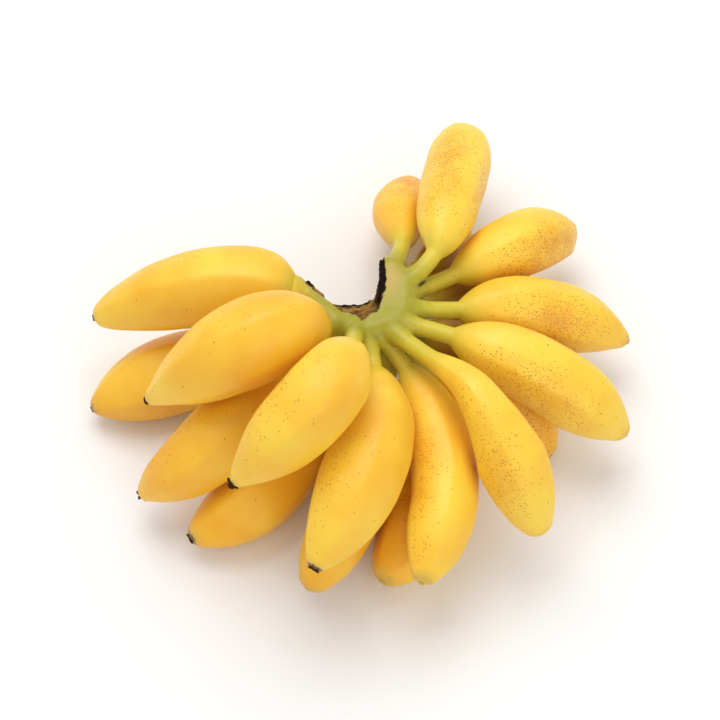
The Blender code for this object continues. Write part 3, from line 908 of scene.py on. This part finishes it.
# %% The flower ends
end_tree, given = start_tree("Withered flower end",
                             {"Width": 0.004, "Lobes": 5.0, "Opening": 0.2, "Fray": 0.0005})
line = add(end_tree, "GeometryNodeResampleCurve", {"Curve": given["Line"], "Count": 16})
far = add(end_tree, "GeometryNodeSplineParameter").outputs["Factor"]
here = add(end_tree, "GeometryNodeInputPosition").outputs[0]
far_kept = end_tree.nodes.new("GeometryNodeCaptureAttribute")
for label, kind, socket in (("Far", "FLOAT", far), ("Centre", "VECTOR", here)):
    far_kept.capture_items.new(kind, label)
    end_tree.links.new(socket, far_kept.inputs[label])
end_tree.links.new(line.outputs[0], far_kept.inputs[0])
circle = add(end_tree, "GeometryNodeCurvePrimitiveCircle", {"Resolution": 48, "Radius": 0.5})
ring = end_tree.nodes.new("GeometryNodeCaptureAttribute")
ring.capture_items.new("FLOAT", "Around")
end_tree.links.new(circle.outputs[0], ring.inputs[0])
around = add(end_tree, "GeometryNodeSplineParameter").outputs["Factor"]
end_tree.links.new(around, ring.inputs["Around"])
waist = reckon(end_tree, "MULTIPLY", far, 3.1)
waist = reckon(end_tree, "MULTIPLY_ADD", reckon(end_tree, "SINE", waist), -0.12, 1.0)
waist = reckon(end_tree, "MULTIPLY", waist, given["Width"])
stub = add(end_tree, "GeometryNodeCurveToMesh",
           {"Curve": far_kept.outputs[0], "Profile Curve": ring.outputs[0], "Scale": waist,
            "Fill Caps": True})
lobe = reckon(end_tree, "MULTIPLY", ring.outputs["Around"], 2 * math.pi)
lobe = reckon(end_tree, "COSINE", reckon(end_tree, "MULTIPLY", lobe, given["Lobes"]))
lobe = reckon(end_tree, "MULTIPLY", lobe, reckon(end_tree, "MULTIPLY", far_kept.outputs["Far"],
                                                 given["Opening"]))
outward = vector(end_tree, "SUBTRACT", here, far_kept.outputs["Centre"])
outward = vector(end_tree, "SCALE", outward, scale=lobe)
fray = add(end_tree, NOISE, {"Vector": here, "Scale": 1100.0, "Detail": 2.0}).outputs["Color"]
fray = vector(end_tree, "SUBTRACT", fray, (0.5, 0.5, 0.5))
frayed = reckon(end_tree, "MULTIPLY", far_kept.outputs["Far"], given["Fray"])
outward = vector(end_tree, "ADD", outward, vector(end_tree, "SCALE", fray, scale=frayed))
stub = add(end_tree, "GeometryNodeSetPosition", {"Geometry": stub.outputs[0], "Offset": outward})
finish_tree(end_tree, stub, given["Finish"])


def dried_material(name, dark, light):
    """Brittle dried flower tissue between two browns."""
    material = bpy.data.materials.new(name)
    material.use_nodes = True
    t = material.node_tree
    t.nodes.clear()
    place = add(t, "ShaderNodeTexCoord").outputs["Object"]
    crumb = noise(t, place, 1.0, 4.0)
    bump = add(t, "ShaderNodeBump", {"Height": crumb, "Strength": 0.6, "Distance": 0.0005})
    add(t, "ShaderNodeOutputMaterial", {0: add(
        t, "ShaderNodeBsdfPrincipled",
        {"Base Color": blend(t, ramp(t, crumb, 0.35, 0.65), dark, light), "Roughness": 0.85,
         "Specular IOR Level": MATTE_SHINE,
         "Normal": bump.outputs[0]}).outputs[0]})
    return material


black_end = dried_material("Dried flower end, near black", "1A0F08", "4A2E14")
brown_end = dried_material("Dried flower end, grey brown", "4A3A20", "8A7848")
pale_end = dried_material("Healed flower scar, pale", "C39A45", "E0BC5E")
for number, name in enumerate(FINGERS):
    length, wide, lobes, dark = WITHERED.get(name, PLAIN_END)
    path = LINES[name][0]
    way = path[-1] - path[-8]
    way /= np.linalg.norm(way)
    curve = bpy.data.curves.new(name + "_end", "CURVE")
    curve.dimensions = "3D"
    spline = curve.splines.new("POLY")
    spline.points.add(1)
    for point, step in zip(spline.points, (-1.5, length)):
        point.co = (*(path[-1] + way * step + CROWN_AT) * MM, 1)
    guide = bpy.data.objects.new(name + "_end", curve)
    scene.collection.objects.link(guide)
    mesh = run_tree(guide, end_tree, {"Width": wide * MM, "Lobes": float(lobes),
                                      "Opening": 0.35 if dark > 0.85 else 0.1,
                                      "Fray": (0.0017 if dark > 0.85 else 0.0008),
                                      "Finish": black_end if dark > 0.65 else
                                      brown_end if dark > 0.3 else pale_end})
    bpy.data.objects.remove(guide, do_unlink=True)
    end_piece = bpy.data.objects.new("flower_end_" + name, mesh)
    scene.collection.objects.link(end_piece)
    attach(end_piece, "root")
print("flower ends:", len(FINGERS))

# %% [markdown]
# ## The floor and the light
# A pale floor and large soft lights, as for a catalogue picture: one wide light above and to the
# left, a fill from the front, and a bright room all round.

# %% Floor, lights and room
floor_mesh = bmesh.new()
bmesh.ops.create_grid(floor_mesh, x_segments=1, y_segments=1, size=4)
floor_data = bpy.data.meshes.new("floor")
floor_mesh.to_mesh(floor_data)
floor_mesh.free()
floor = bpy.data.objects.new("floor", floor_data)
floor.location.z = -0.0002
scene.collection.objects.link(floor)
paint = bpy.data.materials.new("Matt white studio paint")
paint.use_nodes = True
paint.node_tree.nodes["Principled BSDF"].inputs["Base Color"].default_value = linear("F4F4F4")
paint.node_tree.nodes["Principled BSDF"].inputs["Roughness"].default_value = 0.9
floor_data.materials.append(paint)

room = bpy.data.worlds.new("White room")
room.use_nodes = True
room.node_tree.nodes["Background"].inputs[0].default_value = (1, 1, 1, 1)
room.node_tree.nodes["Background"].inputs[1].default_value = 0.68
scene.world = room

for label, at, size, power in (("Wide light", (-0.15, 0.6, 1.5), 1.2, 14.5),
                               ("Fill", (0.7, -1.3, 0.9), 1.2, 4.5)):
    lamp = bpy.data.lights.new(label, "AREA")
    lamp.size = size
    lamp.energy = power
    shown = bpy.data.objects.new(label, lamp)
    shown.location = at
    shown.rotation_euler = (Vector((0, 0, 0.05)) - Vector(at)).to_track_quat("-Z", "Y").to_euler()
    scene.collection.objects.link(shown)
